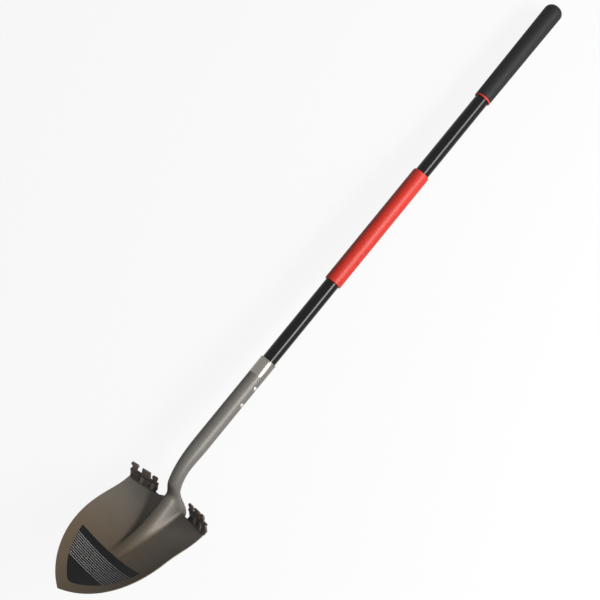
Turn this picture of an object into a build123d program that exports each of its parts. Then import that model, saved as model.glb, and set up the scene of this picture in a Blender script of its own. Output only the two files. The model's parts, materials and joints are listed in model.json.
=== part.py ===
from build123d import *
import os
from math import acos, atan, atan2, cos, degrees, hypot, pi, radians, sin, sqrt, tan

# Round-point shovel with a gooseneck socket, toothed boot treads and a sleeved fibreglass shaft.
# It is built in the handle's own frame: the shaft's axis is the X axis, +X runs up the handle, +Z faces the
# hollow front of the blade and X = 0 is the top edge of the blade. At the end the shovel is laid on its back,
# so that its heel and the end of its grip rest on Z = 0. Lengths are millimetres and angles are degrees.

# Blade
BLADE_WIDTH = 222.0
BLADE_REACH = 244.5  # top edge to tip, along the handle's axis
POINT_RADIUS = 165.0  # of each curved side of the point, seen along Z
TIP_RADIUS = 6.0
SHEET = 2.0  # steel thickness of the whole head
HEEL_DROP = 58.0  # middle of the dish at the top edge, behind the handle's axis
HEEL_SLOPE = 11.7
TIP_SLOPE = 39.0
SHOULDER_DISH = 21.0  # depth of the dish across the full width, at the top edge
BELLY_DISH = 37.0  # the same at the belly and beyond
BELLY_REACH = 95.0  # from the top edge to where the dish has its full depth

# Frog, the ridge that runs from the neck down the blade
FROG_HEIGHT = 32.0  # at the top edge
FROG_HALF_WIDTH = 40.0  # at the top edge, which is also half of the neck's strip of sheet there
FROG_END_HALF_WIDTH = 16.0
FROG_REACH = 175.0
FROG_FADE = 2.4  # power by which the ridge sinks into the blade

# Gooseneck and socket, rolled from the same sheet with an open seam at the back
NECK_DROP = 54.8  # centre of the neck at the top edge, behind the handle's axis
NECK_REACH = 110.5  # from the top edge to where the neck is in line with the handle
NECK_CLOSES = 30.0  # from the top edge to where the sheet has closed into a tube
NECK_DIAMETER = 28.2  # at its narrowest
TAPER_START = 40.0  # from here the neck widens to the socket
TAPER_END = 135.0
SOCKET_LENGTH = 295.0  # top edge of the blade to the socket's mouth
SEAM = 1.5
NECK_STEP = 0.1  # by which the rolled sheet lies inside both faces of the blade's

# Shaft and what is on it
SHAFT_DIAMETER = 30.0
SHAFT_WALL = 4.0
SHAFT_FIT = 0.2  # radial room between the shaft and what is pushed over or into it
SHAFT_SEAT = 3.0  # shaft's lower end, above the end of the socket's taper
LOWER_SHAFT = 199.0  # bare length between collar and mid grip
UPPER_SHAFT = 199.0  # bare length between mid grip and trim ring
CORE_LENGTH = 215.0  # dowel inside the shaft, behind the rivets
COLLAR_LENGTH = 38.0
COLLAR_WALL = 2.2
COLLAR_RIM = 0.5  # how far the rolled rim stands out
COLLAR_RIM_WIDTH = 3.0
MID_GRIP_LENGTH = 285.0
MID_GRIP_WALL = 3.35
MID_GRIP_ROUND = 1.6
TRIM_RING_WIDTH = 4.4
TRIM_RING_WALL = 3.1
TRIM_RING_ROUND = 1.2
END_GRIP_LENGTH = 249.0
END_GRIP_LOW_DIAMETER = 35.6
END_GRIP_TOP_DIAMETER = 39.6
END_GRIP_ROUND = 14.0  # rounding of the closed end
END_GRIP_CAP = 9.0  # thickness of the closed end
PLUG_LENGTH = 24.0
PLUG_FLANGE = 3.0

# Socket rivets
RIVET_DIAMETER = 5.0
RIVET_FIT = 0.1
RIVET_HEAD_DIAMETER = 9.0
RIVET_HEAD_HEIGHT = 2.4
RIVET_FROM_MOUTH = 21.5
RIVET_PITCH = 40.7
RIVET_COUNT = 2

# Boot treads on the shoulders
TREAD_INNER = 48.0  # lateral place of the inner end
TREAD_LENGTH = 66.0
TREAD_SLOPE = 5.0  # by which the treads fall towards the sides of the blade
TREAD_FIT = 0.1  # room between tread and blade
TREAD_APRON = 1.5  # thickness of the strip on the blade's front
TREAD_APRON_RISE = 4.5  # how far the strip stands above the blade's top edge
TREAD_APRON_DROP = 5.0
TREAD_PLATE = 4.0
TREAD_PLATE_DEPTH = 17.0  # from the strip to the middle of the bar
TREAD_RISE = 36.0  # angle of the plate to the blade's normal
TREAD_BAR_DIAMETER = 7.0
LUG_LENGTH = 21.0  # from the middle of the bar
LUG_HEAD_LENGTH = 8.0
LUG_ROUND = 2.0
BLOCK_LUG = 17.0  # width of the middle lug
WIDE_LUG_HEAD = 15.0
WIDE_LUG_NECK = 9.0
WIDE_LUG_PITCH = 25.5  # from the middle lug
NARROW_LUG_HEAD = 10.0
NARROW_LUG_NECK = 7.0
NARROW_LUG_PITCH = 20.5
GUSSET_COUNT = 2
GUSSET_WIDTH = 7.0
GUSSET_DROP = 6.0  # how far the gussets reach down the blade
GUSSET_FIRST = 15.0  # middle of the first gusset, from the end with the narrow lug
GUSSET_PITCH = 25.0

# Label film on the blade
LABEL_FILM = 0.3
LABEL_GLUE = 0.1
LABEL_TOP = 132.0  # middle of the upper edge, from the top edge of the blade
LABEL_MARGIN = 18.5
LABEL_ROUND = 22.0  # lower corner

# Curves that the sheet is lofted through
BLADE_STATION = 9.0
NECK_STATION = 3.75
CURVE_COUNT = 48

half_width = BLADE_WIDTH / 2
shaft_radius = SHAFT_DIAMETER / 2
bore_radius = shaft_radius - SHAFT_WALL
sleeve_radius = shaft_radius + SHAFT_FIT
socket_radius = sleeve_radius + SHEET - 2 * NECK_STEP
shaft_start = TAPER_END + SHAFT_SEAT
collar_end = SOCKET_LENGTH + COLLAR_LENGTH
mid_grip_start = collar_end + LOWER_SHAFT
mid_grip_end = mid_grip_start + MID_GRIP_LENGTH
ring_start = mid_grip_end + UPPER_SHAFT
end_grip_start = ring_start + TRIM_RING_WIDTH
end_grip_end = end_grip_start + END_GRIP_LENGTH
shaft_end = end_grip_end - END_GRIP_CAP - PLUG_FLANGE
rivet_places = [SOCKET_LENGTH - RIVET_FROM_MOUTH - RIVET_PITCH * i for i in range(RIVET_COUNT)]


def ease(share):
    """Smooth step from 0 to 1."""
    share = min(max(share, 0.0), 1.0)
    return share**3 * (10 - 15 * share + 6 * share**2)


def spread(low, high, count):
    return [low + (high - low) * i / count for i in range(count + 1)]


def stations(low, high, pitch):
    return spread(low, high, max(2, round((high - low) / pitch)))


def dish(x, y):
    """Front face of the blade, frog included."""
    down = -x
    slope = tan(radians(HEEL_SLOPE))
    bend = (tan(radians(TIP_SLOPE)) - slope) / (2 * BLADE_REACH)
    spine = -HEEL_DROP + slope * down + bend * down * down
    depth = SHOULDER_DISH + (BELLY_DISH - SHOULDER_DISH) * ease(down / BELLY_REACH)
    left = max(0.0, 1 - down / FROG_REACH)
    frog_half = FROG_END_HALF_WIDTH + (FROG_HALF_WIDTH - FROG_END_HALF_WIDTH) * min(left, 1.0)
    bell = (1 + cos(pi * min(abs(y) / frog_half, 1.0))) / 2
    return y, spine + depth * (y / half_width) ** 2 + FROG_HEIGHT * left**FROG_FADE * bell


def neck(x, share):
    """Front face of the blade carried on into the neck, with share running from edge to edge of the strip.

    The frog's section at the blade curls up into a tube: the direction and the length of the section are
    blended along the strip, and its points are summed up from the crest by Simpson's rule.
    """
    closed = ease(x / NECK_CLOSES)
    left = max(0.0, 1 - x / NECK_REACH)
    narrow = NECK_DIAMETER / 2
    widening = ease((x - TAPER_START) / (TAPER_END - TAPER_START))
    radius = narrow + (socket_radius - narrow) * widening + NECK_STEP
    half_turn = pi - SEAM / 2 / radius
    stretch = 1 + (hypot(1, 3 * NECK_DROP / NECK_REACH * left**2) - 1) * closed
    crest = dish(x, 0)[1] * (1 - closed) + (radius * stretch - NECK_DROP * left**3) * closed
    edge = min(x, 0.0)
    tiny = 0.0001
    count = 12
    y = rise = 0.0
    for i in range(2 * count + 1):
        weight = 1 if i in (0, 2 * count) else 4 if i % 2 else 2
        at = share * i / (2 * count)
        across = FROG_HALF_WIDTH * at
        slope = (dish(edge, across + tiny)[1] - dish(edge, across - tiny)[1]) / (2 * tiny)
        angle = atan(slope) * (1 - closed) - at * half_turn * closed
        length = FROG_HALF_WIDTH * hypot(1, slope) * (1 - closed) + radius * half_turn * closed
        y += weight * length * cos(angle) * share / (6 * count)
        rise += weight * length * sin(angle) * share / (6 * count)
    return y, crest + rise * stretch


def raised(surface, x, along, amount):
    """Point of a surface, moved to the front in the plane of x so that a sheet gains amount in thickness."""
    step = 0.001
    y, z = surface(x, along)
    y_a, z_a = surface(x, along - step)
    y_b, z_b = surface(x, along + step)
    y_low, z_low = surface(x - step, along)
    y_high, z_high = surface(x + step, along)
    run = hypot(y_b - y_a, z_b - z_a)
    side_y, side_z = -(z_b - z_a) / run, (y_b - y_a) / run
    tilt = (side_y * (y_high - y_low) + side_z * (z_high - z_low)) / (2 * step)
    reach = amount * hypot(1, tilt)
    return Vector(x, y + side_y * reach, z + side_z * reach)


def curve(surface, x, low, high, amount):
    """Spline across a surface, with the surface's own direction at both ends."""
    step = (high - low) * 0.001
    points = [raised(surface, x, at, amount) for at in spread(low, high, CURVE_COUNT)]
    first = raised(surface, x, low + step, amount) - raised(surface, x, low - step, amount)
    last = raised(surface, x, high + step, amount) - raised(surface, x, high - step, amount)
    return Edge.make_spline(points, tangents=[first.normalized(), last.normalized()], scale=False)


def layer(surface, places, low, high, top, bottom):
    """Loft along X of the layer between two offsets of a surface."""
    sections = []
    for x in places:
        upper = curve(surface, x, low, high, top)
        lower = curve(surface, x, low, high, bottom)
        ends = [Edge.make_line(lower @ 0, upper @ 0), Edge.make_line(upper @ 1, lower @ 1)]
        sections.append(Wire([upper, lower] + ends))
    return Solid.make_loft(sections)


def point_side(margin):
    """Three points of the curved side of the point, a margin inside the blade's edge."""
    middle = half_width - POINT_RADIUS
    start = BLADE_REACH - POINT_RADIUS * sin(acos(-middle / POINT_RADIUS))
    radius = POINT_RADIUS - margin
    turn = acos(-middle / radius)
    return [(-start - radius * sin(a), middle + radius * cos(a)) for a in (0, turn / 2, turn)]


def mirrored_face(side):
    return make_face((side + mirror(side, Plane.XZ)).edges())


def tip_corner(sketch):
    return sketch.vertices().sort_by(Axis.X)[0]


def prism(outline):
    """Block over an outline that takes in the whole depth of the blade."""
    depth = BLADE_REACH + HEEL_DROP
    return extrude(Pos(0, 0, -depth) * outline, 2 * depth)


def blade_outline():
    start, middle, tip = point_side(0)
    side = Polyline((SHEET, 0), (SHEET, half_width), start) + ThreePointArc(start, middle, tip)
    outline = mirrored_face(side)
    return fillet(tip_corner(outline), TIP_RADIUS)


def label_outline():
    start, middle, tip = point_side(LABEL_MARGIN)
    arc = ThreePointArc(start, middle, tip)
    side = Polyline((0, 0), (0, start[1]), start) + arc
    return fillet(tip_corner(mirrored_face(side)), LABEL_ROUND)


def rod(radius, low, high):
    """Round bar along the handle's axis."""
    bar = Cylinder(radius, high - low, align=(Align.CENTER, Align.CENTER, Align.MIN))
    return Pos(low, 0, 0) * Rot(0, 90, 0) * bar


def tube(outer, inner, low, high):
    return rod(outer, low, high) - rod(inner, low, high)


def drilled(shape):
    """Shape with the rivets' holes across it."""
    hole = Rot(90, 0, 0) * Cylinder(RIVET_DIAMETER / 2 + RIVET_FIT, 4 * socket_radius)
    return shape - [Pos(x, 0, 0) * hole for x in rivet_places]


def shovel_head():
    past = half_width + SHEET
    sheet = layer(dish, stations(-BLADE_REACH - SHEET, 0, BLADE_STATION), -past, past, 0, -SHEET)
    blade = sheet & prism(blade_outline())
    root = [-1.5 * SHEET]
    rolled = layer(neck, root + stations(0, TAPER_END, NECK_STATION), -1, 1, -NECK_STEP, NECK_STEP - SHEET)
    socket = extrude(rolled.faces().sort_by(Axis.X)[-1], SOCKET_LENGTH - TAPER_END)
    return drilled(blade.solid().fuse(rolled).solid().fuse(socket.solid()))


def rivet():
    """Rivet along Y with domed heads that sit on the socket."""
    head_radius = RIVET_HEAD_DIAMETER / 2
    seat = sqrt(socket_radius**2 - head_radius**2)
    ball_radius = (head_radius**2 + RIVET_HEAD_HEIGHT**2) / (2 * RIVET_HEAD_HEIGHT)
    ball = Pos(0, seat + RIVET_HEAD_HEIGHT - ball_radius, 0) * Sphere(ball_radius)
    inside = rod(socket_radius + RIVET_FIT, -RIVET_HEAD_DIAMETER, RIVET_HEAD_DIAMETER)
    outside = Pos(0, seat + ball_radius, 0) * Box(2 * ball_radius, 2 * ball_radius, 2 * ball_radius)
    dome = (ball & outside) - inside
    shank = Rot(90, 0, 0) * Cylinder(RIVET_DIAMETER / 2, 2 * (socket_radius + RIVET_HEAD_HEIGHT / 2))
    return shank + dome + mirror(dome, Plane.XZ)


def sleeve(outer, low, high, rounding):
    """Tube that fits over the shaft, with rounded outer edges."""
    body = tube(outer, sleeve_radius, low, high)
    rims = body.edges().filter_by(GeomType.CIRCLE).group_by(SortBy.RADIUS)[-1]
    return fillet(rims, rounding)


def socket_collar():
    outer = sleeve_radius + COLLAR_WALL
    body = tube(outer, sleeve_radius, SOCKET_LENGTH, collar_end)
    rim = sleeve(outer + COLLAR_RIM, collar_end - COLLAR_RIM_WIDTH, collar_end, COLLAR_RIM)
    return body + rim


def end_grip():
    low, top = END_GRIP_LOW_DIAMETER / 2, END_GRIP_TOP_DIAMETER / 2
    body = Pos(end_grip_start, 0, 0) * Rot(0, 90, 0) * Cone(
        low, top, END_GRIP_LENGTH, align=(Align.CENTER, Align.CENTER, Align.MIN)
    )
    body = fillet(body.edges().sort_by(Axis.X)[-1], END_GRIP_ROUND)
    return body - rod(sleeve_radius, end_grip_start, end_grip_end - END_GRIP_CAP)


def shaft_end_plug():
    stem = rod(bore_radius - SHAFT_FIT, shaft_end - PLUG_LENGTH, shaft_end)
    return stem + rod(shaft_radius, shaft_end, shaft_end + PLUG_FLANGE)


def lug(middle, head, neck_width):
    """Outline of one lug: a mushroom, or a block if its head and its neck are equally wide."""
    tip = TREAD_PLATE_DEPTH + LUG_LENGTH
    stem = Pos(middle, tip - LUG_LENGTH / 2) * Rectangle(neck_width, LUG_LENGTH)
    if head == neck_width:
        return stem
    cap = Pos(middle, tip - LUG_HEAD_LENGTH / 2) * RectangleRounded(head, LUG_HEAD_LENGTH, LUG_ROUND)
    return stem + cap


def step_tread(turn):
    """Tread for the left shoulder, in a frame with X along the shoulder, Y down the blade and Z off its face.

    Its wide lug is at the outer end if turn is 1 and at the inner end if turn is -1.
    """
    half = TREAD_LENGTH / 2
    middle = TREAD_INNER + half
    base = dish(0, middle)[1]
    tilt = atan((dish(0, middle + 1)[1] - dish(0, middle - 1)[1]) / 2)
    bow = dish(0, middle + half)[1] - base - tan(tilt) * half
    strip = Pos(-half, -TREAD_APRON_RISE, -SHEET) * Box(
        TREAD_LENGTH, TREAD_APRON_RISE + TREAD_APRON_DROP, SHEET + bow + TREAD_APRON, align=Align.MIN
    )
    rise = radians(TREAD_RISE)
    root = Vector(0, -TREAD_APRON_RISE / 2, 0)
    nose = root + Vector(0, -sin(rise), cos(rise)) * TREAD_PLATE_DEPTH
    bar = Pos(nose) * Rot(0, 90, 0) * Cylinder(TREAD_BAR_DIAMETER / 2, TREAD_LENGTH)
    plate = Pos(0, TREAD_PLATE_DEPTH / 2) * Rectangle(TREAD_LENGTH, TREAD_PLATE_DEPTH)
    plate = plate + lug(turn * WIDE_LUG_PITCH, WIDE_LUG_HEAD, WIDE_LUG_NECK)
    plate = plate + lug(0, BLOCK_LUG, BLOCK_LUG)
    plate = plate + lug(-turn * NARROW_LUG_PITCH, NARROW_LUG_HEAD, NARROW_LUG_NECK)
    shelf = extrude(plate, TREAD_PLATE / 2, both=True)
    tread = strip + bar + Pos(root) * Rot(90 + TREAD_RISE, 0, 0) * shelf
    web = Polyline((root.Y, root.Z), (GUSSET_DROP, 0), (nose.Y, nose.Z), close=True)
    for i in range(GUSSET_COUNT):
        place = turn * (GUSSET_FIRST + GUSSET_PITCH * i - half)
        gusset = Plane(origin=(place, 0, 0), x_dir=(0, 1, 0), z_dir=(1, 0, 0)) * make_face(web)
        tread = tread + extrude(gusset, GUSSET_WIDTH / 2, both=True)
    along, off = (0, cos(tilt), sin(tilt)), (0, -sin(tilt), cos(tilt))
    shoulder = Plane(origin=(0, middle, base), x_dir=along, z_dir=off)
    low, high = TREAD_INNER - 2 * SHEET, TREAD_INNER + TREAD_LENGTH + 2 * SHEET
    drop = GUSSET_DROP + TREAD_APRON_DROP + half * sin(radians(TREAD_SLOPE))
    below = stations(-drop, TREAD_FIT, NECK_STATION)
    return shoulder * Rot(0, 0, TREAD_SLOPE) * tread - layer(dish, below, low, high, TREAD_FIT, -4 * SHEET)


def blade_label():
    """Film on the dish. Its upper edge lies square to the spine of the blade."""
    places = stations(-BLADE_REACH, BELLY_DISH - LABEL_TOP, BLADE_STATION)
    film = layer(dish, places, -half_width, half_width, LABEL_GLUE + LABEL_FILM, LABEL_GLUE)
    lean = degrees(atan((dish(-LABEL_TOP - 1, 0)[1] - dish(1 - LABEL_TOP, 0)[1]) / 2))
    block = Box(BLADE_REACH, 2 * BLADE_WIDTH, BLADE_REACH, align=(Align.MAX, Align.CENTER, Align.CENTER))
    below = Pos(-LABEL_TOP, 0, dish(-LABEL_TOP, 0)[1]) * Rot(0, lean, 0) * block
    return film & prism(label_outline()) & below


def lay_angle():
    """Turn about Y that brings the lowest part of the heel level with the underside of the grip's end."""
    taper = (END_GRIP_TOP_DIAMETER - END_GRIP_LOW_DIAMETER) / END_GRIP_LENGTH
    grip_x, grip_z = end_grip_end - END_GRIP_ROUND, (taper * END_GRIP_ROUND - END_GRIP_TOP_DIAMETER) / 2
    places = stations(0, NECK_CLOSES, NECK_STATION / 8)
    edges = [raised(neck, x, 1, amount) for x in places for amount in (-NECK_STEP, NECK_STEP - SHEET)]
    return max(degrees(atan2(grip_z - p.Z, grip_x - p.X)) for p in edges)


nodes = {
    "shovel_head": shovel_head(),
    "left_step_tread": step_tread(1),
    "right_step_tread": mirror(step_tread(-1), Plane.XZ),
    "socket_rivets": Compound([Pos(x, 0, 0) * rivet().solid() for x in rivet_places]),
    "socket_collar": socket_collar(),
    "handle_shaft": drilled(tube(shaft_radius, bore_radius, shaft_start, shaft_end)),
    "shaft_core": drilled(rod(bore_radius - SHAFT_FIT, shaft_start, shaft_start + CORE_LENGTH)),
    "shaft_end_plug": shaft_end_plug(),
    "mid_grip": sleeve(shaft_radius + MID_GRIP_WALL, mid_grip_start, mid_grip_end, MID_GRIP_ROUND),
    "end_grip": end_grip(),
    "end_grip_ring": sleeve(shaft_radius + TRIM_RING_WALL, ring_start, end_grip_start, TRIM_RING_ROUND),
    "blade_label": blade_label(),
}
laid = {name: Rot(0, lay_angle(), 0) * shape for name, shape in nodes.items()}
box = Compound([solid for shape in laid.values() for solid in shape.solids()]).bounding_box()
os.makedirs("parts", exist_ok=True)
for name, shape in laid.items():
    export_step(Pos(-box.center().X, -box.center().Y, -box.min.Z) * shape, f"parts/{name}.step")
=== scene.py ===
import json
from math import acos, atan, atan2, cos, hypot, pi, radians, sin, sqrt, tan

import bmesh
import bpy
from mathutils import Matrix, Vector


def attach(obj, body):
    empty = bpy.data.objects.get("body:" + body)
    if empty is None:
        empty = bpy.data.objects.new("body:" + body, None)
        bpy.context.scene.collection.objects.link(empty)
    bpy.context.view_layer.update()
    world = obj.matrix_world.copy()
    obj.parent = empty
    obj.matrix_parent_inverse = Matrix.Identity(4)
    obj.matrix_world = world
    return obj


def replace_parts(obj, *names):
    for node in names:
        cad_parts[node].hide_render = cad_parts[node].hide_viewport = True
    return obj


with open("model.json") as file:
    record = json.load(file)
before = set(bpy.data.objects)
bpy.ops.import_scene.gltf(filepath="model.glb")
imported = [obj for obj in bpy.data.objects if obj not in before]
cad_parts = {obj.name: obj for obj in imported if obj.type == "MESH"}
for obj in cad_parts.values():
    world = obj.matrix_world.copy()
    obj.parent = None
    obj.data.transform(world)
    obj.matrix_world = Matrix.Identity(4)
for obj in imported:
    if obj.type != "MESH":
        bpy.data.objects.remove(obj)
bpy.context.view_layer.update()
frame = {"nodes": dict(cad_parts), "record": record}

# The pieces are drawn in the handle's own frame, in millimetres: X runs up the handle from the blade's top
# edge, Y points to the left and Z out of the hollow front. Sizes follow the solids, apart from the frog, the
# label's upper edge and the set of each tread, which are closer to the photograph here.

# Blade
HALF_WIDTH = 111.0
REACH = 244.5  # top edge of the blade to its tip
POINT_RADIUS = 165.0  # of each curved side of the point
TIP_HALF_WIDTH = 1.2
SHEET = 2.0
RIM = 0.45  # by which the rounded rim of the sheet stands out
HEEL_DROP = 58.0  # middle of the dish at the top edge, behind the handle's axis
HEEL_SLOPE = tan(radians(11.7))
TIP_SLOPE = tan(radians(39.0))
SHOULDER_DISH, BELLY_DISH, BELLY_REACH = 21.0, 37.0, 95.0
FROG_HEIGHT, FROG_HALF_WIDTH, FROG_END_HALF_WIDTH = 32.0, 31.0, 15.0
FROG_REACH = 155.0
FROG_FADE, FROG_CROWN = 1.4, 1.4  # powers that shape its slope down the blade and its cross-section

# Neck and socket
STRIP = 40.0  # half width of the sheet that is rolled into the neck
NECK_CLOSES, NECK_REACH, NECK_DROP = 34.0, 110.5, 54.8
NECK_CURL = 1.7  # power by which the sheet curls up beyond the top edge
TAPER_START, TAPER_END = 40.0, 135.0
NECK_RADIUS, SOCKET_RADIUS = 14.2, 17.1
SEAM = 1.5  # open seam at the back of the neck and socket
MOUTH = 295.0
RIVETS = (273.5, 232.8)
RIVET_RADIUS, RIVET_HEIGHT = 4.5, 2.2
RIVET_SINK, RIVET_EDGE, RIVET_SHOULDER = 0.3, 0.5, 0.25

# Handle
SHAFT_RADIUS, BORE_RADIUS, SLEEVE_RADIUS = 15.0, 11.0, 15.2
SHAFT_START, SHAFT_END = 138.0, 1257.4
COLLAR_END, COLLAR_RADIUS, COLLAR_EDGE = 333.0, 17.4, 0.6
BEAD_RADIUS, BEAD_SINK, BEAD_FOOT = 1.5, 1.0, 3.2  # rolled bead at the collar's upper end
MID_GRIP_START, MID_GRIP_END, MID_GRIP_RADIUS, MID_GRIP_EDGE = 532.0, 817.0, 18.35, 1.8
LIP_START, LIP_RADIUS = 1017.0, 16.5  # lower lip of the end grip, which the ring sits on
RING_START, RING_END, RING_RADIUS, RING_EDGE = 1016.6, 1020.4, 17.95, 0.9
GRIP_END, GRIP_CAP = 1269.4, 9.0
GRIP_LOW_RADIUS, GRIP_TOP_RADIUS, GRIP_EDGE, GRIP_DOME = 17.8, 19.7, 0.6, 15.0

# Boot treads
TREAD_INNER, TREAD_LENGTH = 48.0, 66.0
APRON_RISE, APRON_DROP, APRON_INSET = 4.5, 5.0, 1.0
APRON_THICKNESS, APRON_OFFSET = 4.2, 1.2
PLATE, PLATE_DEPTH = 4.0, 17.0
BAR_RADIUS, BAR_DIMPLE = 3.5, 0.4  # share of the radius at the bottom of the dimple in each end
LUG_HEAD, LUG_CHAMFER, LUG_UNDERCUT, LUG_EASE, BLOCK_DRAFT = 7.5, 2.2, 1.0, 0.6, 0.5
GUSSET_WIDTH, GUSSET_DROP = 7.0, 6.0
GUSSET_SINK, GUSSET_TOE, GUSSET_LIP = 1.0, 1.5, 2.0
PLATE_BEVEL, BAR_BEVEL, GUSSET_BEVEL = 0.7, 0.4, 0.6
SHARP_EDGE = 0.6  # radians between two faces, beyond which their edge is bevelled

# Label
LABEL_TOP, LABEL_MARGIN, LABEL_ROUND, LABEL_RISE = 140.0, 18.0, 22.0, 0.4
LABEL_TURN = 0.03  # slope of its upper edge across the blade
LABEL_TRIM = 0.995  # share of the way to its pointed corners
LINE_PITCH, LINE_WIDTH, LINE_BLUR = 4.2, 0.9, 0.1
FIRST_LINE, LAST_LINE = 15.0, 62.0  # below the upper edge

# Fineness of the meshes
BLADE_ROWS, BLADE_CROWDING = 110, 1.35  # rows crowd towards the tip
SIDE_COLUMNS, STRIP_COLUMNS = 36, 64
CURL_ROWS, CURL_TOP, BEND_ROWS, SOCKET_ROWS = 24, 36.0, 33, 16
CURL_STEPS = 24  # even, for the weights of the sum across the strip
RIM_TURNS = (35, 90, 145)  # degrees round the rim, from the front face to the back
LABEL_ROWS, LABEL_COLUMNS = 36, 72
LABEL_EDGE_STEPS, LABEL_END_STEPS = 20, 30  # of the searches for its upper edge and for its two ends
TURNED_SEGMENTS, RIVET_SEGMENTS, BAR_SEGMENTS = 96, 24, 20
RIVET_ROWS, DIMPLE_ROWS = 6, 4
POLE, RIVET_POLE = 0.01, 0.001  # radius at which a closed end stops
NUDGE, FINE_NUDGE = 0.01, 0.001  # step by which a slope is taken
SMOOTH_LIMIT = 50  # degrees between two faces, beyond which their edge is sharp

# LAY carries the handle's frame into the part's. The mount on the grip's end gives its place and direction.
grip_mount = next(m for m in frame["record"]["mounts"] if m["name"] == "grip_end")
handle_turn = Matrix.Rotation(atan2(-grip_mount["axis"][2], grip_mount["axis"][0]), 4, "Y")
to_metres = Matrix.Scale(0.001, 4) @ Matrix.Translation((-GRIP_END, 0, 0))
LAY = Matrix.Translation(grip_mount["pos_m"]) @ handle_turn @ to_metres


def ease(share):
    """Smooth step from 0 to 1."""
    share = min(max(share, 0.0), 1.0)
    return share**3 * (10 - 15 * share + 6 * share**2)


def spread(low, high, count):
    """Evenly spaced values, both ends included."""
    return [low + (high - low) * i / count for i in range(count + 1)]


# Sheet of the head

def dish(x, y):
    """Height of the blade's front face, frog included."""
    down = -x
    bend = (TIP_SLOPE - HEEL_SLOPE) / (2 * REACH)
    depth = SHOULDER_DISH + (BELLY_DISH - SHOULDER_DISH) * ease(down / BELLY_REACH)
    left = max(0.0, 1 - down / FROG_REACH)
    frog_half = FROG_END_HALF_WIDTH + (FROG_HALF_WIDTH - FROG_END_HALF_WIDTH) * min(left, 1.0)
    bell = (1 + cos(pi * min(abs(y) / frog_half, 1.0) ** FROG_CROWN)) / 2
    spine = -HEEL_DROP + HEEL_SLOPE * down + bend * down * down
    return spine + depth * (y / HALF_WIDTH) ** 2 + FROG_HEIGHT * left**FROG_FADE * bell


def on_blade(x, y):
    return Vector((x, y, dish(x, y)))


def on_neck(x, share):
    """Front face of the neck, from one edge of its strip of sheet (-1) to the other (1).

    The strip's cross-section goes over from the dish to a tube, in the slope and length of each bit of it.
    A weighted sum adds the bits up from the middle outwards.
    """
    closed = ease(x / NECK_CLOSES)
    curl = 1 - (1 - min(max(x / NECK_CLOSES, 0.0), 1.0)) ** NECK_CURL
    left = max(0.0, 1 - x / NECK_REACH)
    taper = ease((x - TAPER_START) / (TAPER_END - TAPER_START))
    radius = NECK_RADIUS + (SOCKET_RADIUS - NECK_RADIUS) * taper
    half_turn = pi - SEAM / 2 / radius
    stretch = 1 + (hypot(1, 3 * NECK_DROP / NECK_REACH * left**2) - 1) * closed
    crest = dish(x, 0) * (1 - closed) + (radius * stretch - NECK_DROP * left**3) * closed
    step = FINE_NUDGE
    y = rise = 0.0
    for i in range(CURL_STEPS + 1):
        weight = 1 if i in (0, CURL_STEPS) else 4 if i % 2 else 2
        at = share * i / CURL_STEPS
        across = STRIP * at
        slope = (dish(min(x, 0), across + step) - dish(min(x, 0), across - step)) / (2 * step)
        angle = atan(slope) * (1 - curl) - at * half_turn * curl
        length = STRIP * hypot(1, slope) * (1 - curl) + radius * half_turn * curl
        y += weight * length * cos(angle) * share / (3 * CURL_STEPS)
        rise += weight * length * sin(angle) * share / (3 * CURL_STEPS)
    return Vector((x, y, crest + rise * stretch))


def front_normal(surface, x, along, step):
    across = surface(x, along + step) - surface(x, along - step)
    up = surface(x + NUDGE, along) - surface(x - NUDGE, along)
    return up.cross(across).normalized()


def point_start():
    """Distance below the top edge at which the sides begin to curve in."""
    return REACH - POINT_RADIUS * sin(acos(1 - HALF_WIDTH / POINT_RADIUS))


def edge_width(down, margin):
    """Half width of the blade, less a margin, at a distance below its top edge."""
    past = down - point_start()
    if past <= 0:
        return HALF_WIDTH - margin
    return HALF_WIDTH - POINT_RADIUS + sqrt(max((POINT_RADIUS - margin) ** 2 - past**2, 0.0))


# Materials

def add(tree, kind, settings=None, **sockets):
    made = tree.nodes.new(kind)
    for name, value in (settings or {}).items():
        setattr(made, name, value)
    for name, value in sockets.items():
        made.inputs[name.replace("_", " ")].default_value = value
    return made


def link(tree, source, output, target, socket):
    tree.links.new(source.outputs[output], target.inputs[socket])


def compute(tree, operation, *values):
    """Math node. Each value is a number, or a node and the name of its output."""
    made = add(tree, "ShaderNodeMath", {"operation": operation})
    for i, value in enumerate(values):
        if isinstance(value, tuple):
            link(tree, *value, made, i)
        else:
            made.inputs[i].default_value = value
    return made


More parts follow.
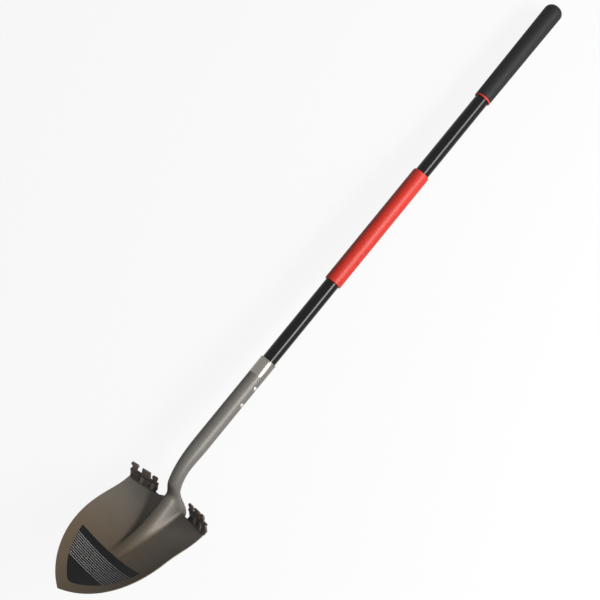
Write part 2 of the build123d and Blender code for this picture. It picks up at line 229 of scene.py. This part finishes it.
def paint(name, color, metallic, roughness, shine=0.5, mottle=0.1, mottle_size=0.03, grain=0.0,
          grain_size=0.002):
    """Surface whose colour and roughness drift a little, with a fine grain on it. Sizes are in metres."""
    grain_depth = 0.0004
    material = bpy.data.materials.new(name)
    material.use_nodes = True
    tree = material.node_tree
    shader = tree.nodes["Principled BSDF"]
    shader.inputs["Metallic"].default_value = metallic
    shader.inputs["Specular IOR Level"].default_value = shine
    place = add(tree, "ShaderNodeTexCoord")
    cloud = add(tree, "ShaderNodeTexNoise", Scale=1 / mottle_size, Detail=5.0, Roughness=0.6)
    link(tree, place, "Object", cloud, "Vector")
    drift = add(tree, "ShaderNodeMapRange", To_Min=1 - mottle, To_Max=1 + mottle)
    link(tree, cloud, "Fac", drift, "Value")
    tint = add(tree, "ShaderNodeVectorMath", {"operation": "SCALE"})
    tint.inputs[0].default_value = color
    link(tree, drift, "Result", tint, "Scale")
    link(tree, tint, "Vector", shader, "Base Color")
    rough = compute(tree, "MULTIPLY", (drift, "Result"), roughness)
    link(tree, rough, "Value", shader, "Roughness")
    if grain:
        fine = add(tree, "ShaderNodeTexNoise", Scale=1 / grain_size, Detail=2.0, Roughness=0.5)
        link(tree, place, "Object", fine, "Vector")
        bump = add(tree, "ShaderNodeBump", Strength=grain, Distance=grain_depth)
        link(tree, fine, "Fac", bump, "Height")
        link(tree, bump, "Normal", shader, "Normal")
    return material


def tint_over(tree, shader, color, node, output):
    """Mix a colour over the shader's base colour, by a share from 0 to 1."""
    base = shader.inputs["Base Color"]
    mixed = add(tree, "ShaderNodeMix", {"data_type": "RGBA"})
    under, over, result = mixed.inputs[6], mixed.inputs[7], mixed.outputs[2]
    tree.links.new(base.links[0].from_socket, under)
    over.default_value = (*color, 1)
    link(tree, node, output, mixed, "Factor")
    tree.links.new(result, base)


def burnish(material, color, metallic, dulling, low, high):
    """Turn a surface into barer metal along the handle, between two places on it."""
    tree = material.node_tree
    shader = tree.nodes["Principled BSDF"]
    place = add(tree, "ShaderNodeTexCoord")
    split = add(tree, "ShaderNodeSeparateXYZ")
    link(tree, place, "Object", split, "Vector")
    start, end = [(LAY @ Vector((x, 0, 0))).x for x in (low, high)]
    smooth = {"interpolation_type": "SMOOTHSTEP"}
    share = add(tree, "ShaderNodeMapRange", smooth, From_Min=start, From_Max=end)
    link(tree, split, "X", share, "Value")
    tint_over(tree, shader, color, share, "Result")
    covered = shader.inputs["Metallic"].default_value
    bare = compute(tree, "MULTIPLY_ADD", (share, "Result"), metallic - covered, covered)
    link(tree, bare, "Value", shader, "Metallic")
    dull = compute(tree, "MULTIPLY_ADD", (share, "Result"), dulling)
    tree.links.new(shader.inputs["Roughness"].links[0].from_socket, dull.inputs[2])
    link(tree, dull, "Value", shader, "Roughness")


def ruled(material, color):
    """Print plain thin lines on a film, between two bare bands. Its UV map holds millimetres."""
    tree = material.node_tree
    place = add(tree, "ShaderNodeUVMap", {"uv_map": "print"})
    split = add(tree, "ShaderNodeSeparateXYZ")
    link(tree, place, "UV", split, "Vector")
    below = (split, "Y")
    off_line = compute(tree, "PINGPONG", below, LINE_PITCH / 2)
    inner, outer = LINE_WIDTH / 2 - LINE_BLUR, LINE_WIDTH / 2 + LINE_BLUR
    ink = add(tree, "ShaderNodeMapRange", From_Min=inner, From_Max=outer, To_Min=1.0, To_Max=0.0)
    link(tree, off_line, "Value", ink, "Value")
    past_first = compute(tree, "GREATER_THAN", below, FIRST_LINE)
    before_last = compute(tree, "LESS_THAN", below, LAST_LINE)
    inside = compute(tree, "MULTIPLY", (past_first, "Value"), (before_last, "Value"))
    shown = compute(tree, "MULTIPLY", (inside, "Value"), (ink, "Result"))
    tint_over(tree, tree.nodes["Principled BSDF"], color, shown, "Value")


def looking(tree):
    """1 for the rays that see the surroundings: the camera's, and those that are mirrored or let through."""
    ray = add(tree, "ShaderNodeLightPath")
    either = compute(tree, "MAXIMUM", (ray, "Is Camera Ray"), (ray, "Is Glossy Ray"))
    return compute(tree, "MAXIMUM", (either, "Value"), (ray, "Is Transmission Ray"))


head_lacquer = paint("head_lacquer", (0.112, 0.085, 0.056), metallic=0.02, roughness=0.3, shine=0.14,
                     mottle=0.06, grain=0.1, grain_size=0.0012)
burnish(head_lacquer, (0.152, 0.144, 0.132), metallic=0.28, dulling=0.14, low=-165, high=60)
# The treads are one paint drawn in three tones for the light on their parts. Painted shade: the bar and the
# apron under it are much darker than the rest of the tread.
tread_painted_shade = paint("tread_painted_shade", (0.045, 0.041, 0.036), metallic=0.0, roughness=0.4, shine=0.2,
                   mottle=0.2, grain=0.3)
# Painted light: the lugs take a lighter brown tone for the light on their faces, with a blotchy mottle.
tread_painted_lit_lugs = paint("tread_painted_lit_lugs", (0.13, 0.1, 0.083), metallic=0.0, roughness=0.45, shine=0.2,
                   mottle=0.25, mottle_size=0.008, grain=0.4)
# Painted light: the gussets take a lighter olive tone for the light on their faces.
tread_painted_lit_gussets = paint("tread_painted_lit_gussets", (0.15, 0.145, 0.122), metallic=0.0, roughness=0.45, shine=0.2,
                    mottle=0.2, mottle_size=0.01, grain=0.3)
rivet_steel = paint("rivet_steel", (0.6, 0.59, 0.57), metallic=1.0, roughness=0.22, grain=0.1)
collar_chrome = paint("collar_chrome", (0.25, 0.235, 0.205), metallic=1.0, roughness=0.24,
                      mottle=0.08, mottle_size=0.006)
shaft_resin = paint("shaft_resin", (0.003, 0.003, 0.0033), metallic=0.0, roughness=0.14, shine=0.2,
                    mottle=0.12, grain=0.02, grain_size=0.004)
red_rubber = paint("red_rubber", (0.43, 0.022, 0.012), metallic=0.0, roughness=0.45, shine=0.3,
                   mottle=0.06, grain=0.12, grain_size=0.0012)
black_rubber = paint("black_rubber", (0.01, 0.01, 0.011), metallic=0.0, roughness=0.62, shine=0.2,
                     mottle=0.14, mottle_size=0.02, grain=0.5, grain_size=0.0015)
core_wood = paint("core_wood", (0.5, 0.36, 0.22), metallic=0.0, roughness=0.6, mottle=0.2, mottle_size=0.01)
plug_plastic = paint("plug_plastic", (0.03, 0.03, 0.03), metallic=0.0, roughness=0.5)
label_film = paint("label_film", (0.0085, 0.0085, 0.009), metallic=0.0, roughness=0.42, shine=0.12)
ruled(label_film, (0.36, 0.36, 0.35))


# Pieces

def add_piece(name, mesh, material):
    mesh.materials.append(material)
    for polygon in mesh.polygons:
        polygon.use_smooth = True
    mesh.set_sharp_from_angle(angle=radians(SMOOTH_LIMIT))
    piece = bpy.data.objects.new(name, mesh)
    bpy.context.scene.collection.objects.link(piece)
    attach(piece, "root")
    return piece


def add_mesh(name, points, faces, material):
    """Piece from points in the handle's frame."""
    mesh = bpy.data.meshes.new(name)
    mesh.from_pydata([LAY @ Vector(p) for p in points], [], faces)
    return add_piece(name, mesh, material)


def lathe(name, profile, material):
    """Turned piece about the handle's axis, from a closed loop of points (x, radius)."""
    points = []
    for x, radius in profile:
        for k in range(TURNED_SEGMENTS):
            turn = 2 * pi * k / TURNED_SEGMENTS
            points.append((x, radius * sin(turn), radius * cos(turn)))
    faces = []
    for i in range(len(profile)):
        near, far = i * TURNED_SEGMENTS, (i + 1) % len(profile) * TURNED_SEGMENTS
        for k in range(TURNED_SEGMENTS):
            other = (k + 1) % TURNED_SEGMENTS
            faces.append((near + k, near + other, far + other, far + k))
    return add_mesh(name, points, faces, material)


def arc(x, radius_at, size, start, end, count=6):
    """Rounded edge of a turned piece, about (x, radius_at)."""
    turns = [radians(a) for a in spread(start, end, count)]
    return [(x + size * cos(t), radius_at + size * sin(t)) for t in turns]


def build_head():
    """Blade, neck and socket as one skin of pressed sheet, with a rounded rim all round."""
    side = HALF_WIDTH - RIM
    outer = spread(-1, -STRIP / side, SIDE_COLUMNS)
    strip = spread(-STRIP / side, STRIP / side, STRIP_COLUMNS)
    columns = outer + strip[1:] + [-v for v in reversed(outer[:-1])]
    first, last = SIDE_COLUMNS, SIDE_COLUMNS + STRIP_COLUMNS
    downs = [(REACH - RIM) * (1 - (1 - i / BLADE_ROWS) ** BLADE_CROWDING) for i in range(BLADE_ROWS)]
    ups = spread(0, CURL_TOP, CURL_ROWS)[1:] + spread(CURL_TOP, TAPER_END, BEND_ROWS)[1:]
    ups += spread(TAPER_END, MOUTH, SOCKET_ROWS)[1:]
    front, normals, index = [], [], {}
    for i, down in enumerate(downs):
        width = max(edge_width(down, RIM), TIP_HALF_WIDTH)
        for j, v in enumerate(columns):
            index[-i, j] = len(front)
            front.append(on_blade(-down, v * width))
            normals.append(front_normal(on_blade, -down, v * width, NUDGE))
    for i, x in enumerate(ups, start=1):
        for j in range(first, last + 1):
            share = columns[j] * side / STRIP
            index[i, j] = len(front)
            front.append(on_neck(x, share))
            normals.append(front_normal(on_neck, x, share, FINE_NUDGE))
    back = [p - n * SHEET for p, n in zip(front, normals)]
    size = len(front)
    points = front + back
    faces = []
    for i, j in list(index):
        ring = [index.get(key) for key in ((i, j), (i, j + 1), (i + 1, j + 1), (i + 1, j))]
        if None not in ring:
            faces.append(tuple(ring))
            faces.append(tuple(k + size for k in reversed(ring)))

    end, top, right = 1 - len(downs), len(ups), len(columns) - 1
    rim = [index[0, j] for j in range(0, first + 1)]
    rim += [index[i, first] for i in range(1, top + 1)]
    rim += [index[top, j] for j in range(first + 1, last + 1)]
    rim += [index[i, last] for i in range(top - 1, -1, -1)]
    rim += [index[0, j] for j in range(last + 1, right + 1)]
    rim += [index[i, right] for i in range(-1, end - 1, -1)]
    rim += [index[end, j] for j in range(right - 1, -1, -1)]
    rim += [index[i, 0] for i in range(end + 1, 0)]
    count = len(rim)
    rings = [rim]
    for turn in map(radians, RIM_TURNS):
        ring = []
        for k, a in enumerate(rim):
            along = (front[rim[(k + 1) % count]] - front[rim[k - 1]]).normalized()
            out = normals[a].cross(along)
            middle, half = (front[a] + back[a]) / 2, (front[a] - back[a]) / 2
            ring.append(len(points))
            points.append(middle + half * cos(turn) + out * RIM * sin(turn))
        rings.append(ring)
    rings.append([a + size for a in rim])
    for near, far in zip(rings[:-1], rings[1:]):
        faces += [(near[k - 1], near[k], far[k], far[k - 1]) for k in range(count)]
    head = add_mesh("pressed_head", points, faces, head_lacquer)
    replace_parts(head, "shovel_head")


def sleeve_profile(low, high, bore, outer, rounding):
    """Sleeve on the handle, with both of its outer edges rounded."""
    profile = [(low, bore)] + arc(low + rounding, outer - rounding, rounding, 180, 90)
    return profile + arc(high - rounding, outer - rounding, rounding, 90, 0) + [(high, bore)]


def build_shaft():
    tube = [(SHAFT_START, BORE_RADIUS), (SHAFT_START, SHAFT_RADIUS)]
    tube += [(SHAFT_END, SHAFT_RADIUS), (SHAFT_END, BORE_RADIUS)]
    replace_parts(lathe("shaft_tube", tube, shaft_resin), "handle_shaft")


def build_collar():
    profile = [(MOUTH, SLEEVE_RADIUS)]
    profile += arc(MOUTH + COLLAR_EDGE, COLLAR_RADIUS - COLLAR_EDGE, COLLAR_EDGE, 180, 90)
    profile += [(COLLAR_END - BEAD_FOOT, COLLAR_RADIUS)]
    profile += arc(COLLAR_END - BEAD_RADIUS, COLLAR_RADIUS - BEAD_SINK, BEAD_RADIUS, 150, 0, count=10)
    profile += [(COLLAR_END, SLEEVE_RADIUS)]
    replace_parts(lathe("collar", profile, collar_chrome), "socket_collar")


def build_grips():
    profile = sleeve_profile(MID_GRIP_START, MID_GRIP_END, SLEEVE_RADIUS, MID_GRIP_RADIUS, MID_GRIP_EDGE)
    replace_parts(lathe("red_sleeve", profile, red_rubber), "mid_grip")

    profile = sleeve_profile(RING_START, RING_END, LIP_RADIUS, RING_RADIUS, RING_EDGE)
    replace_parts(lathe("trim_ring", profile, red_rubber), "end_grip_ring")

    profile = [(LIP_START, SLEEVE_RADIUS), (LIP_START, LIP_RADIUS), (RING_END, LIP_RADIUS)]
    profile += arc(RING_END + GRIP_EDGE, GRIP_LOW_RADIUS - GRIP_EDGE, GRIP_EDGE, 180, 90)
    profile += arc(GRIP_END - GRIP_DOME, GRIP_TOP_RADIUS - GRIP_DOME, GRIP_DOME, 90, 0, count=16)
    profile += [(GRIP_END, POLE), (GRIP_END - GRIP_CAP, POLE), (GRIP_END - GRIP_CAP, SLEEVE_RADIUS)]
    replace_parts(lathe("rubber_sleeve", profile, black_rubber), "end_grip")


def build_rivets():
    """Domed heads on both sides of the socket."""
    seat = sqrt(SOCKET_RADIUS**2 - RIVET_RADIUS**2)
    edge = seat + RIVET_EDGE
    profile = [(RIVET_RADIUS, seat - RIVET_SINK), (RIVET_RADIUS, edge)]
    for a in spread(RIVET_SHOULDER, pi / 2, RIVET_ROWS):
        profile.append((RIVET_RADIUS * cos(a) + RIVET_POLE, edge + RIVET_HEIGHT * sin(a)))
    points, faces = [], []
    for x in RIVETS:
        for side in (-1, 1):
            start = len(points)
            for radius, away in profile:
                for k in range(RIVET_SEGMENTS):
                    turn = side * 2 * pi * k / RIVET_SEGMENTS
                    points.append((x + radius * cos(turn), side * away, radius * sin(turn)))
            for i in range(len(profile) - 1):
                ring = start + i * RIVET_SEGMENTS
                for k in range(RIVET_SEGMENTS):
                    a, b = ring + k, ring + (k + 1) % RIVET_SEGMENTS
                    faces.append((a, a + RIVET_SEGMENTS, b + RIVET_SEGMENTS, b))
    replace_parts(add_mesh("rivet_heads", points, faces, rivet_steel), "socket_rivets")


# Boot treads, each in a frame with X along the shoulder, Y down the blade and Z off its face

def prism(bm, outline, thickness, place):
    """Slab with an outline in the XY plane of a place, that plane in its middle."""
    face = bm.faces.new([bm.verts.new(place @ Vector((x, y, -thickness / 2))) for x, y in outline])
    made = bmesh.ops.extrude_face_region(bm, geom=[face])["geom"]
    offset = place.to_3x3() @ Vector((0, 0, thickness))
    bmesh.ops.translate(bm, vec=offset, verts=[v for v in made if isinstance(v, bmesh.types.BMVert)])


def lug(middle, head, neck, length):
    """Outline of a lug: a mushroom, or a block if its head and neck are equally wide."""
    root, tip = PLATE_DEPTH, PLATE_DEPTH + length
    if head == neck:
        half = [(neck / 2, root), (neck / 2 - BLOCK_DRAFT, tip)]
    else:
        under, edge = tip - LUG_HEAD, head / 2
        half = [(neck / 2, root), (neck / 2, under - LUG_UNDERCUT), (edge - LUG_EASE, under)]
        half += [(edge, under + LUG_CHAMFER), (edge, tip - LUG_CHAMFER), (edge - LUG_CHAMFER, tip)]
    return [(middle - x, y) for x, y in half] + [(middle + x, y) for x, y in reversed(half)]


def add_tread_piece(name, bm, seat, material, bevel):
    sharp = [e for e in bm.edges if len(e.link_faces) == 2 and e.calc_face_angle() > SHARP_EDGE]
    bmesh.ops.bevel(bm, geom=sharp, offset=bevel, segments=2, profile=0.5, affect="EDGES")
    bmesh.ops.transform(bm, matrix=seat, verts=bm.verts)
    bmesh.ops.recalc_face_normals(bm, faces=bm.faces)
    mesh = bpy.data.meshes.new(name)
    bm.to_mesh(mesh)
    bm.free()
    return add_piece(name, mesh, material)


def add_bar(bm, middle, half):
    """Round bar along X with dimpled ends."""
    ends = []
    for a in spread(0, pi / 2, DIMPLE_ROWS):
        radius = BAR_RADIUS * (BAR_DIMPLE + (1 - BAR_DIMPLE) * sin(a))
        ends.append((half - BAR_RADIUS / 2 * (1 - sin(a)), radius))
    rings = []
    turns = [2 * pi * k / BAR_SEGMENTS for k in range(BAR_SEGMENTS)]
    for x, radius in [(-x, r) for x, r in ends] + ends[::-1]:
        rings.append([bm.verts.new(middle + Vector((x, radius * cos(t), radius * sin(t)))) for t in turns])
    for near, far in zip(rings[:-1], rings[1:]):
        for k in range(BAR_SEGMENTS):
            bm.faces.new((near[k - 1], near[k], far[k], far[k - 1]))
    bm.faces.new(rings[0])
    bm.faces.new(rings[-1][::-1])


def build_tread(name, side, lift, slope, rise, lugs, gussets):
    """One tread. Its lugs are (middle, head, neck, length), from the inner end to the outer one."""
    half = TREAD_LENGTH / 2
    middle = TREAD_INNER + half
    tilt = atan((dish(0, middle + 1) - dish(0, middle - 1)) / 2)
    axes = Matrix(((0, -1, 0), (cos(tilt), 0, -sin(tilt)), (sin(tilt), 0, cos(tilt)))).to_4x4()
    shoulder = Matrix.Translation((lift, middle, dish(0, middle))) @ axes
    shoulder = shoulder @ Matrix.Rotation(radians(slope), 4, "Z")
    seat = LAY @ Matrix.Scale(side, 4, (0, 1, 0)) @ shoulder
    plate_place = Matrix.Translation((0, -APRON_RISE / 2, 0)) @ Matrix.Rotation(radians(90 + rise), 4, "X")
    nose = plate_place @ Vector((0, PLATE_DEPTH, 0))

    outline = [(-half, 0), (-half, PLATE_DEPTH)]
    for each in lugs:
        outline += lug(*each)
    outline += [(half, PLATE_DEPTH), (half, 0)]
    bm = bmesh.new()
    prism(bm, outline, PLATE, plate_place)
    # The lugs take the lighter brown tone painted for the light on them.
    plate = add_tread_piece(f"{name}_tread_lugs", bm, seat, tread_painted_lit_lugs, PLATE_BEVEL)
    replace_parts(plate, f"{name}_step_tread")

    bm = bmesh.new()
    add_bar(bm, nose, half)
    end = half - APRON_INSET
    apron = [(-end, -APRON_RISE), (end, -APRON_RISE), (end, APRON_DROP), (-end, APRON_DROP)]
    prism(bm, apron, APRON_THICKNESS, Matrix.Translation((0, 0, APRON_OFFSET)))
    # The bar and its apron take the painted shade.
    add_tread_piece(f"{name}_tread_bar", bm, seat, tread_painted_shade, BAR_BEVEL)

    bm = bmesh.new()
    upright = Matrix(((0, 0, 1), (1, 0, 0), (0, 1, 0))).to_4x4()
    web = [(-APRON_RISE / 2, -GUSSET_SINK), (GUSSET_DROP, -GUSSET_SINK), (GUSSET_DROP, GUSSET_TOE)]
    web += [(nose.y + GUSSET_LIP, nose.z + GUSSET_TOE), (nose.y, nose.z)]
    for place in gussets:
        prism(bm, web, GUSSET_WIDTH, Matrix.Translation((place, 0, 0)) @ upright)
    # The gussets take the lighter olive tone painted for the light on their faces.
    add_tread_piece(f"{name}_tread_gussets", bm, seat, tread_painted_lit_gussets, GUSSET_BEVEL)


def build_treads():
    left = [(-25.0, 13.0, 9.5, 18.0), (-4.0, 21.0, 21.0, 20.0), (23.5, 18.0, 12.0, 22.0)]
    build_tread("left", 1, lift=-3.0, slope=8.0, rise=34.0, lugs=left, gussets=(4.0, -22.0))
    right = [(-24.0, 18.0, 12.0, 15.0), (1.0, 21.0, 21.0, 16.0), (21.0, 13.0, 9.5, 17.0)]
    build_tread("right", -1, lift=3.0, slope=2.0, rise=37.0, lugs=right, gussets=(-9.0, 14.0))


def build_label():
    """Film on the dish. Its upper edge is straight, at a small slope, and the others follow the blade's."""
    lean = (dish(-LABEL_TOP - 1, 0) - dish(1 - LABEL_TOP, 0)) / 2
    base = dish(-LABEL_TOP, 0)
    start, middle = point_start(), HALF_WIDTH - POINT_RADIUS
    radius = POINT_RADIUS - LABEL_MARGIN
    corner = start + sqrt((radius - LABEL_ROUND) ** 2 - middle**2)
    corner_half = -middle * LABEL_ROUND / (radius - LABEL_ROUND)

    def upper(y):
        down = LABEL_TOP
        for _ in range(LABEL_EDGE_STEPS):
            down = LABEL_TOP + LABEL_TURN * y - lean * (dish(-down, y) - base)
        return down

    def lower(y):
        if abs(y) < corner_half:
            return corner + sqrt(LABEL_ROUND**2 - y * y)
        return start + sqrt(max(radius**2 - (abs(y) - middle) ** 2, 0.0))

    def end(side):
        near, far = 0.0, radius + middle
        for _ in range(LABEL_END_STEPS):
            half = (near + far) / 2
            near, far = (half, far) if upper(side * half) < lower(side * half) else (near, half)
        return side * LABEL_TRIM * near

    right, left = end(-1), end(1)
    points, places, faces = [], [], []
    for i in range(LABEL_ROWS + 1):
        for j in range(LABEL_COLUMNS + 1):
            y = (left + right) / 2 + (left - right) / 2 * sin(pi / 2 * (2 * j / LABEL_COLUMNS - 1))
            top, bottom = upper(y), lower(y)
            down = top + (bottom - top) * i / LABEL_ROWS
            point = on_blade(-down, y)
            points.append(point + front_normal(on_blade, -down, y, NUDGE) * LABEL_RISE)
            places.append((y, (down - LABEL_TOP + lean * (point.z - base)) / hypot(1, lean)))
    width = LABEL_COLUMNS + 1
    for i in range(LABEL_ROWS):
        for j in range(LABEL_COLUMNS):
            a = i * width + j
            faces.append((a, a + width, a + width + 1, a + 1))
    border = list(range(width))
    border += [i * width + LABEL_COLUMNS for i in range(1, LABEL_ROWS + 1)]
    border += [LABEL_ROWS * width + j for j in range(LABEL_COLUMNS - 1, -1, -1)]
    border += [i * width for i in range(LABEL_ROWS - 1, 0, -1)]
    skirt, count = len(points), len(border)
    for a in border:
        x, y, _ = points[a]
        points.append(on_blade(x, y))
        places.append(places[a])
    for k in range(count):
        faces.append((border[k - 1], border[k], skirt + k, skirt + (k - 1) % count))
    label = add_mesh("label", points, faces, label_film)
    layer = label.data.uv_layers.new(name="print")
    for loop in label.data.loops:
        layer.data[loop.index].uv = places[loop.vertex_index]
    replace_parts(label, "blade_label")


build_head()
build_shaft()
build_collar()
build_grips()
build_rivets()
build_treads()
build_label()
for name, material in {"shaft_core": core_wood, "shaft_end_plug": plug_plastic}.items():
    mesh = frame["nodes"][name].data
    mesh.materials.clear()
    mesh.materials.append(material)


# Camera: right of the hollow front, aimed at the handle, which runs up to the right across the picture
CAMERA_FOOT, CAMERA_DISTANCE, CAMERA_TURN = 85.3, 2600.0, radians(35.17)
CAMERA_AIM = Vector((467.9, 34.6, 0.0))
HANDLE_ANGLE = radians(50.69)
FOCAL_LENGTH, SENSOR_WIDTH = 80.39, 36.0


def build_camera():
    stand = Vector((CAMERA_FOOT, -CAMERA_DISTANCE * sin(CAMERA_TURN), CAMERA_DISTANCE * cos(CAMERA_TURN)))
    back = (stand - CAMERA_AIM).normalized()
    along = (Vector((1, 0, 0)) - back * back.x).normalized()
    across = back.cross(along)
    right = along * cos(HANDLE_ANGLE) - across * sin(HANDLE_ANGLE)
    up = along * sin(HANDLE_ANGLE) + across * cos(HANDLE_ANGLE)
    lens = bpy.data.cameras.new("camera")
    lens.lens = FOCAL_LENGTH
    lens.sensor_width = SENSOR_WIDTH
    camera = bpy.data.objects.new("camera", lens)
    bpy.context.scene.collection.objects.link(camera)
    pose = handle_turn @ Matrix((right, up, back)).transposed().to_4x4()
    pose.translation = LAY @ stand
    camera.matrix_world = pose
    bpy.context.scene.camera = camera


# Floor and light, in metres
FLOOR_RADIUS, FLOOR_SEGMENTS = 60.0, 96
FLOOR_GLOW = 0.9  # share of plain white in the floor that is seen; the rest takes the shadow
FLOOR_GREY = 0.45  # floor that lights the object from below
ROOM_DARK, ROOM_LIGHT, ROOM_BACK = 0.04, 0.12, -0.6
ROOM_FRONT = Vector((0.25, -0.8, 0.55)).normalized()
WHITE = (1, 1, 1, 1)


def pick_looking(tree, other, seen, target):
    """Show one shader to the rays that see the surroundings and another to all the rest."""
    pick = add(tree, "ShaderNodeMixShader")
    link(tree, looking(tree), "Value", pick, 0)
    link(tree, other, 0, pick, 1)
    link(tree, seen, 0, pick, 2)
    link(tree, pick, 0, tree.nodes[target], "Surface")


def build_floor():
    mesh = bpy.data.meshes.new("floor")
    turns = spread(0, 2 * pi, FLOOR_SEGMENTS)[:-1]
    rim = [(FLOOR_RADIUS * cos(t), FLOOR_RADIUS * sin(t), 0) for t in turns]
    mesh.from_pydata(rim, [], [tuple(range(len(rim)))])
    floor = bpy.data.objects.new("floor", mesh)
    bpy.context.scene.collection.objects.link(floor)
    material = bpy.data.materials.new("floor")
    material.use_nodes = True
    tree = material.node_tree
    tree.nodes.remove(tree.nodes["Principled BSDF"])
    paper = add(tree, "ShaderNodeBsdfDiffuse", Color=WHITE)
    glow = add(tree, "ShaderNodeEmission", Color=WHITE, Strength=1.0)
    seen = add(tree, "ShaderNodeMixShader", Fac=FLOOR_GLOW)
    link(tree, paper, 0, seen, 1)
    link(tree, glow, 0, seen, 2)
    grey = add(tree, "ShaderNodeBsdfDiffuse", Color=(FLOOR_GREY, FLOOR_GREY, FLOOR_GREY, 1))
    pick_looking(tree, grey, seen, "Material Output")
    mesh.materials.append(material)


def softbox(name, place, aim, width, height, power, spread_angle=180):
    light = bpy.data.lights.new(name, "AREA")
    light.shape = "RECTANGLE"
    light.size, light.size_y = width, height
    light.energy = power
    light.spread = radians(spread_angle)
    lamp = bpy.data.objects.new(name, light)
    bpy.context.scene.collection.objects.link(lamp)
    lamp.location = place
    lamp.rotation_euler = (Vector(aim) - Vector(place)).to_track_quat("-Z", "Y").to_euler()


def build_world():
    """Grey room, lighter towards the front of the shovel's right side."""
    world = bpy.data.worlds.new("studio")
    bpy.context.scene.world = world
    world.use_nodes = True
    tree = world.node_tree
    place = add(tree, "ShaderNodeTexCoord")
    toward = add(tree, "ShaderNodeVectorMath", {"operation": "DOT_PRODUCT"})
    link(tree, place, "Generated", toward, 0)
    toward.inputs[1].default_value = ROOM_FRONT
    room = add(tree, "ShaderNodeMapRange", From_Min=ROOM_BACK, To_Min=ROOM_DARK, To_Max=ROOM_LIGHT)
    link(tree, toward, "Value", room, "Value")
    dim = tree.nodes["Background"]
    dim.inputs["Color"].default_value = WHITE
    link(tree, room, "Result", dim, "Strength")
    seen = add(tree, "ShaderNodeBackground", Color=WHITE, Strength=1.0)
    pick_looking(tree, dim, seen, "World Output")


build_camera()
build_floor()
softbox("key", place=(0.3, -2.2, 1.05), aim=(0.1, 0, 0.05), width=3.2, height=0.3, power=66)
softbox("side", place=(1.0, -2.2, 0.65), aim=(0.9, 0, 0.05), width=1.9, height=0.9, power=2.5,
        spread_angle=42)
softbox("wall", place=(0.8, -2.6, 0.65), aim=(-0.4, 0, 0.05), width=2.0, height=1.0, power=48)
build_world()

bpy.context.scene.view_settings.view_transform = "Standard"
